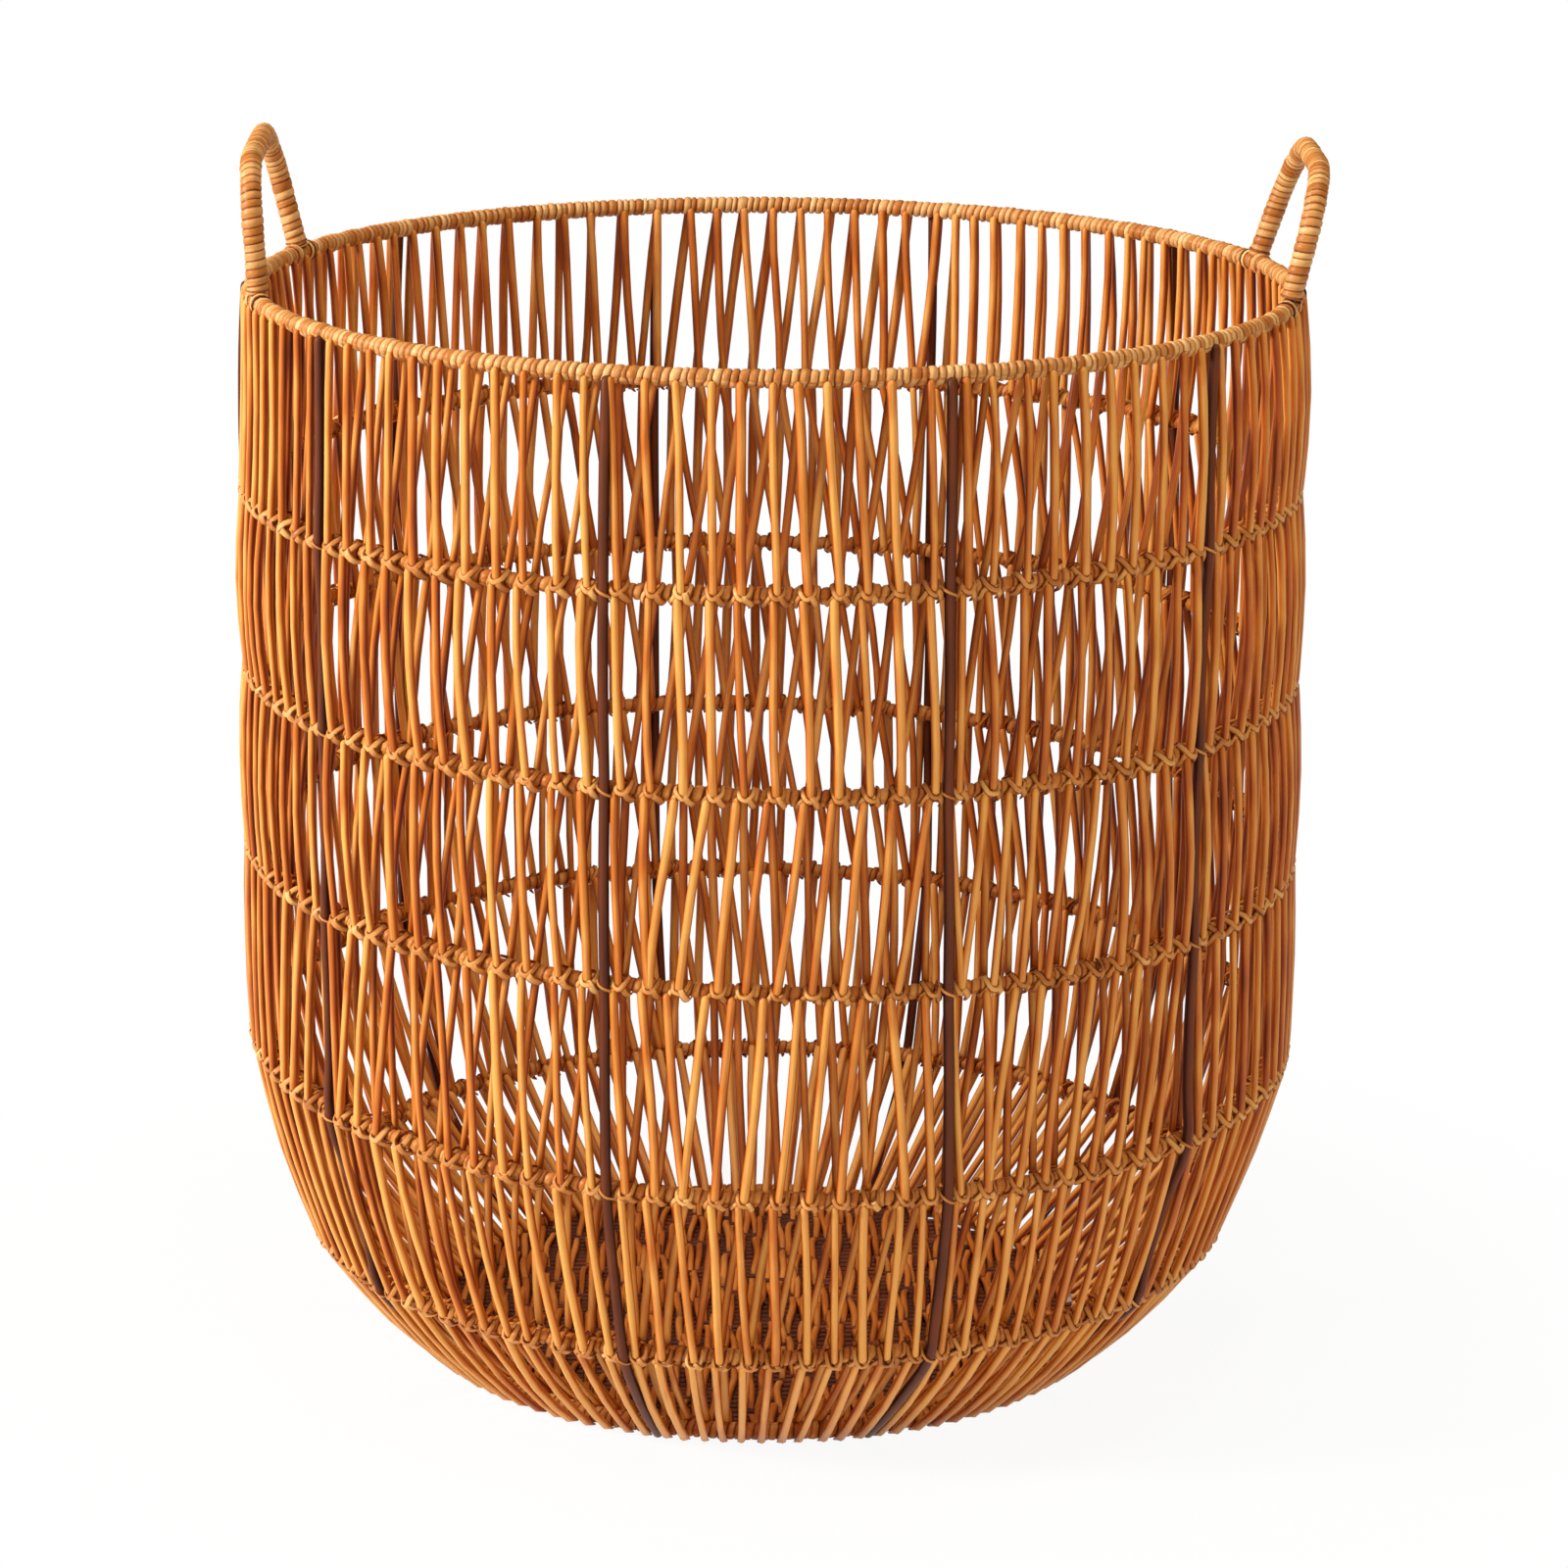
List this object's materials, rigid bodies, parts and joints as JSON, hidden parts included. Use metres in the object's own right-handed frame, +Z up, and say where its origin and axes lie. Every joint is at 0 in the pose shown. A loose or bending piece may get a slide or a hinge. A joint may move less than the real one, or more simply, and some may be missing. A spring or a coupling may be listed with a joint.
{
  "type": "storage basket",
  "caption": "Round open storage basket of cane rods tied to wrapped hoops between slim dark metal uprights, tapering to a woven floor, with two wrapped loop handles on the rim.",
  "frame": {"origin": "on the floor under the middle of the basket", "axes": "+Z up, +X towards the right-hand handle in the picture, -Y towards the viewer"},
  "size_m": [0.5007, 0.4984, 0.5747],
  "materials": {
    "cane_rods": "satin",
    "cane_wrap": "satin",
    "cane_floor": "satin",
    "dark_metal": "semi-gloss"
  },
  "bodies": {
    "root": {"rim_core": "dark_metal", "rim_wrap": "cane_wrap", "hoop_1": "cane_wrap", "hoop_2": "cane_wrap", "hoop_3": "cane_wrap", "hoop_4": "cane_wrap", "hoop_5": "cane_wrap", "base_ring": "cane_wrap", "floor_mat": "cane_floor", "stake_01": "dark_metal", "wall_section_01": "cane_rods", "stake_02": "dark_metal", "wall_section_02": "cane_rods", "stake_03": "dark_metal", "wall_section_03": "cane_rods", "stake_04": "dark_metal", "wall_section_04": "cane_rods", "stake_05": "dark_metal", "wall_section_05": "cane_rods", "stake_06": "dark_metal", "wall_section_06": "cane_rods", "stake_07": "dark_metal", "wall_section_07": "cane_rods", "stake_08": "dark_metal", "wall_section_08": "cane_rods", "stake_09": "dark_metal", "wall_section_09": "cane_rods", "stake_10": "dark_metal", "wall_section_10": "cane_rods", "handle_right_core": "dark_metal", "handle_right_winding": "cane_wrap", "handle_right_binding_1": "cane_wrap", "handle_right_binding_2": "cane_wrap", "handle_left_core": "dark_metal", "handle_left_winding": "cane_wrap", "handle_left_binding_1": "cane_wrap", "handle_left_binding_2": "cane_wrap"}
  },
  "joints": []
}
